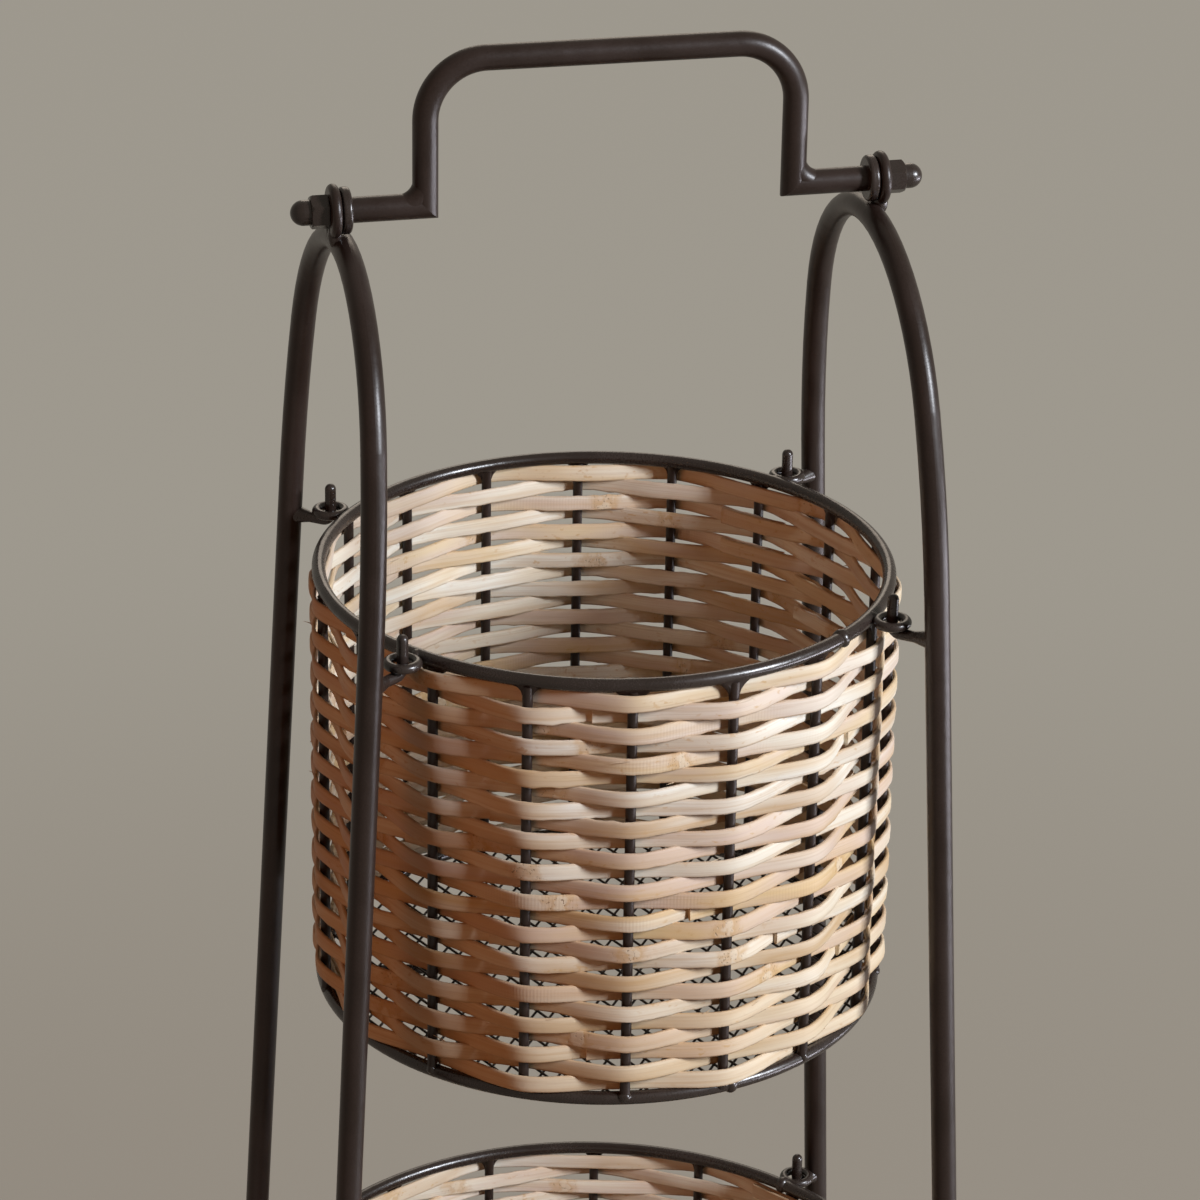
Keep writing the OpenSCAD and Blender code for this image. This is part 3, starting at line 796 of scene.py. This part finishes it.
def dented(tree, given, beads):
    """Moves the beads' skin in and out along its normal."""
    noise = tree.noise(tree.node("GeometryNodeInputPosition"), DENTS_IN_A_METRE)
    dent = (noise - 0.5) * given["Dents"]
    outward = (part * dent for part in tree.parts(tree.node("GeometryNodeInputNormal")))
    return tree.node("GeometryNodeSetPosition", None, {"Geometry": beads, "Offset": tree.vector(*outward)})


close_geometry(bead_tree, dented(bead_tree, given, bead_shapes(bead_tree, given)), given["Material"])
print("bead tree has", len(bead_tree.tree.nodes), "nodes")


# %% Beads on the baskets
RING_RADIUS = 8.4 * MM
DENT_DEPTH = 0.7 * MM
ROD_ENDS = {"top": (-50.0, -76.0), "middle": (38.0, -140.0), "bottom": (152.0, -64.0)}
# A bead's half sizes: outward, round the basket, upward
FOOT_BEAD = (1.9 * MM, 2.6 * MM, 2.0 * MM)
RING_BEAD = (2.6 * MM, 2.3 * MM, 1.6 * MM)
ROD_BEAD = (3.5 * MM, 3.0 * MM, 3.5 * MM)
EYE_BEAD = (2.6 * MM, 2.6 * MM, 5.0 * MM)
# How far a bead stands out from the rod's middle and up, as a length or a share of the rod's or wire's radius
FOOT_OUT, FOOT_UP = 0.62, 1.5 * MM
RING_OUT, RING_UP = 0.8 * MM, 0.55
EYE_UP, EYE_ASIDE = 3.2 * MM, 2.2 * MM


def add_beads(name, body, points, bead):
    """One bead on each point, as a piece that rides on a body."""
    outward, around, upward = bead
    beads = grow(name, bead_tree, {"Outward": outward, "Around": around, "Upward": upward,
                                   "Dents": DENT_DEPTH, "Material": weld_bronze}, points=points)
    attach(beads, body)


def round_the_axis(radius, height, degrees):
    """A point at each of these angles on a level circle round the Z axis."""
    angles = (math.radians(a) for a in degrees)
    return [(radius * math.cos(a), radius * math.sin(a), height) for a in angles]


def stave_angles(tier):
    """Where the staves of a basket stand, in degrees."""
    return [FIRST_STAVE[tier] + 360 / STAVES * i for i in range(STAVES)]


def ring_joints(tier):
    """Where the wire of each ring meets the rim rod, from the box of the four rings."""
    low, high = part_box(f"{tier}_basket_rings")
    wire = (high.z - low.z) / 2
    x, y = high.x - RING_RADIUS, high.y - RING_RADIUS
    reach, rim = math.hypot(x, y), baskets[tier]["rim_radius"]
    crossing = (rim ** 2 + reach ** 2 - (RING_RADIUS - wire) ** 2) / (2 * reach)
    spread = math.degrees(math.acos(min(1.0, crossing / rim)))
    leg = math.degrees(math.atan2(y, x))
    angles = [base + turn for base in (leg, 180 - leg, 180 + leg, -leg) for turn in (-spread, spread)]
    return round_the_axis(rim + RING_OUT, baskets[tier]["top"] + wire * RING_UP, angles)


for tier in TIERS:
    sizes = baskets[tier]
    rim = sizes["rim_radius"]
    feet = round_the_axis(rim + sizes["rod_radius"] * FOOT_OUT, sizes["bottom"] + FOOT_UP, stave_angles(tier))
    upper, lower = ROD_ENDS[tier]
    ends = round_the_axis(rim, sizes["top"], [upper]) + round_the_axis(rim, sizes["bottom"], [lower])
    add_beads(f"{tier}_basket_foot_welds", f"{tier}_basket", feet, FOOT_BEAD)
    add_beads(f"{tier}_basket_ring_welds", f"{tier}_basket", ring_joints(tier), RING_BEAD)
    add_beads(f"{tier}_basket_rod_welds", f"{tier}_basket", ends, ROD_BEAD)

# %% [markdown]
# At its head each stave spreads out into a smooth flare of weld under the rim. A ball can't give that hollow
# curve, so this tree sweeps a circle down a short line and makes it narrower by a power of the way down.
# Pressed flat, it reaches well to both sides of the stave, and hardly out from it.

# %% Flares at the heads of the staves
FLARE_RINGS = 9
FLARE_POWER = 2.4
FLARE_SINK = 1.2 * MM
FLARE = {"Outward": 1.8 * MM, "Around": 8.5 * MM, "Down": 8.0 * MM, "Waist": 0.27}

flare_tree, given = new_geometry("weld_flares", {
    "Outward": "NodeSocketFloat", "Around": "NodeSocketFloat", "Down": "NodeSocketFloat",
    "Waist": "NodeSocketFloat", "Material": "NodeSocketMaterial"})


def one_flare(tree, given):
    """A trumpet, one unit long, that narrows downwards to its waist."""
    line = tree.node("GeometryNodeCurvePrimitiveLine", None, {"End": (0.0, 0.0, -1.0)})
    line = tree.node("GeometryNodeResampleCurve", {"mode": "COUNT"}, {"Curve": line, "Count": FLARE_RINGS})
    down = tree.node("GeometryNodeSplineParameter", out="Factor")
    girth = (1.0 - down) ** FLARE_POWER * (1.0 - given["Waist"]) + given["Waist"]
    circle = tree.node("GeometryNodeCurvePrimitiveCircle", {"mode": "RADIUS"},
                       {"Resolution": 16, "Radius": 1.0})
    return tree.node("GeometryNodeCurveToMesh", None,
                     {"Curve": line, "Profile Curve": circle, "Scale": girth, "Fill Caps": True})


def flares_on_points(tree, given):
    """A flare under every point, pressed flat, and no two quite alike."""
    flare = one_flare(tree, given)
    luck = tree.chance(tree.node("GeometryNodeInputIndex"), 0.5) * 0.3 + 0.85
    pressed = tree.vector(given["Outward"], given["Around"] * luck, given["Down"] * luck)
    return tree.node("GeometryNodeInstanceOnPoints", None,
                     {"Points": given["Start"], "Instance": flare, "Rotation": facing_out(tree),
                      "Scale": pressed})


close_geometry(flare_tree, flares_on_points(flare_tree, given), given["Material"])
for tier in TIERS:
    sizes = baskets[tier]
    heads = round_the_axis(sizes["rim_radius"] + STAVE_RADIUS / 2, sizes["top"] - FLARE_SINK,
                           stave_angles(tier))
    flares = grow(f"{tier}_basket_head_welds", flare_tree, {**FLARE, "Material": bronze}, points=heads)
    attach(flares, f"{tier}_basket")

# %% [markdown]
# Under each eye two tears of weld, side by side, run down its hoop.

# %% Beads under the eyes
for side_name in ("left", "right"):
    low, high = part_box(f"{side_name}_pivot_eye")
    x, z = (low.x + high.x) / 2, low.z + EYE_UP
    tears = [(x, y, z) for y in (-EYE_ASIDE, EYE_ASIDE)]
    add_beads(f"{side_name}_eye_weld", "frame", tears, EYE_BEAD)

# %% [markdown]
# ## Finishes on the frame's own pieces
# Every bar, rod, ring and nut keeps the frame's own shape and gets the bronze coat. The rims, rings, pins,
# nuts and washers get the glossier one, as on the real caddy. The weaves and the floors of the frame
# don't show, because the strips and the meshes stand in for them, so they are passed over.

# %% Coat the metal
GLOSSY = ("rings", "pins", "nuts", "washers", "rim")
for name, node in nodes.items():
    if name.endswith(("_weave", "_basket_floor")):
        continue
    if name == "floor_glides":
        finish = glide_plastic
    elif name.endswith(GLOSSY):
        finish = weld_bronze
    else:
        finish = bronze
    node.data.materials.clear()
    node.data.materials.append(finish)
print("coated", len(nodes) - 2 * len(TIERS), "pieces")

# %% [markdown]
# ## The stage
# The caddy stands on a wide pale floor that runs out to the horizon on all sides, so it can be looked at
# from anywhere. The floor gets most of its paleness from a faint glow that only the camera and
# reflections see. Light that bounces off it finds no glow, only a warm brown floor, so little of it comes
# back to the object. Near the object the floor is paint that the lamps light, so it takes the shadow.
# Further out only the glow is left, and there is no gloss, so the lamps leave no bright patches. The
# world has the same colour as the far floor, above the horizon.

# %% The floor
PAINT = (0.20, 0.18, 0.15)
FAR_PAINT = (0.012, 0.011, 0.010)
NEAR_LIFT, FAR_LIFT = (0.195, 0.176, 0.148), (0.338, 0.313, 0.268)
FLOOR_BOUNCE = (0.22, 0.13, 0.07)
FADE_START, FADE_END = 0.9, 2.6
FLOOR_REACH = 60.0
FLOOR_SIDES = 64


def seen_directly(tree):
    """1 for what the camera, a reflection or a glass shows, and 0 for light that falls on the object."""
    path = tree.node("ShaderNodeLightPath", out="Is Camera Ray")
    return (path + tree.more(path, "Is Glossy Ray") + tree.more(path, "Is Transmission Ray")).least(1.0)


def floor_material():
    """Lit paint near the object, and a glow for the camera that grows further out."""
    material, tree, surface = new_material("floor_paint")
    seen = seen_directly(tree)
    x, y = tree.parts(tree.node("ShaderNodeTexCoord", out="Object"))[:2]
    away = ((x * x + y * y) ** 0.5).step(FADE_START, FADE_END)
    paint = tree.blend(away, PAINT, FAR_PAINT)
    plug(tree, tree.blend(seen, FLOOR_BOUNCE, paint), surface, "Base Color")
    lift = tree.blend(away, NEAR_LIFT, FAR_LIFT)
    plug(tree, tree.blend(seen, (0.0, 0.0, 0.0), lift), surface, "Emission Color")
    surface.inputs["Emission Strength"].default_value = 1.0
    surface.inputs["Roughness"].default_value = 0.9
    surface.inputs["Specular IOR Level"].default_value = 0.0
    return material


floor_mesh = bpy.data.meshes.new("floor")
corners = round_the_axis(FLOOR_REACH, 0.0, [360 / FLOOR_SIDES * i for i in range(FLOOR_SIDES)])
floor_mesh.from_pydata(corners, [], [list(range(FLOOR_SIDES))])
floor_mesh.materials.append(floor_material())
floor = bpy.data.objects.new("floor", floor_mesh)
scene.collection.objects.link(floor)
print("floor reaches", FLOOR_REACH, "m")

# %% [markdown]
# ## Light
# The key is a tall soft lamp at the front right, some two metres up. It gives the strips their relief and
# leaves the left side of each basket in shade. A weak, very warm fill from the left keeps the shade brown.
# The long highlight on the bars comes from below, because they are seen from above, so a low card stands
# on the right that only reflections see. A weak lamp behind keeps the back from going black.

# %% Lights
def add_light(name, place, target, size, power, colour):
    """A rectangular area lamp that faces a point and that the camera doesn't see."""
    data = bpy.data.lights.new(name, "AREA")
    data.shape = "RECTANGLE"
    data.size, data.size_y = size
    data.energy = power
    data.color = colour
    light = bpy.data.objects.new(name, data)
    light.location = place
    light.rotation_euler = (Vector(place) - Vector(target)).to_track_quat("Z", "Y").to_euler()
    light.visible_camera = False
    scene.collection.objects.link(light)
    return light


KEY_TURN = math.radians(-40.5)
KEY_RISE = math.radians(25.0)
KEY_DISTANCE = 3.0
DAYLIGHT, CARD_WHITE = (0.885, 0.925, 1.0), (0.92, 0.90, 1.0)
FIRELIGHT, LAMPLIGHT = (1.0, 0.34, 0.12), (1.0, 0.86, 0.72)
middle = Vector((0.0, 0.0, 0.95))
towards_key = Vector((math.cos(KEY_RISE) * math.cos(KEY_TURN),
                      math.cos(KEY_RISE) * math.sin(KEY_TURN),
                      math.sin(KEY_RISE)))
add_light("key", middle + towards_key * KEY_DISTANCE, middle, size=(0.55, 0.9), power=128.0, colour=DAYLIGHT)
fill = add_light("fill", (-2.5, -1.5, 2.0), middle, size=(2.0, 2.0), power=15.0, colour=FIRELIGHT)
fill.visible_glossy = False
card = add_light("low card", (2.7, -0.9, 0.10), middle, size=(2.4, 0.6), power=76.0, colour=CARD_WHITE)
card.visible_diffuse = False
add_light("back", (0.8, 3.2, 2.4), middle, size=(1.5, 1.5), power=14.0, colour=LAMPLIGHT)

# %% The world
GLOW, GLOW_STRENGTH = (1.0, 0.62, 0.38), 0.02
world = bpy.data.worlds.new("world")
scene.world = world
world.use_nodes = True
sky = Tree(world.node_tree)
glow = sky.node("ShaderNodeBackground", None, {"Color": (*GLOW, 1), "Strength": GLOW_STRENGTH})
backdrop = sky.node("ShaderNodeBackground", None, {"Color": (*FAR_LIFT, 1), "Strength": 1.0})
mixed = sky.node("ShaderNodeMixShader", None, [seen_directly(sky), glow, backdrop])
world.node_tree.links.new(mixed.out, world.node_tree.nodes["World Output"].inputs["Surface"])
scene.view_settings.view_transform = "Standard"
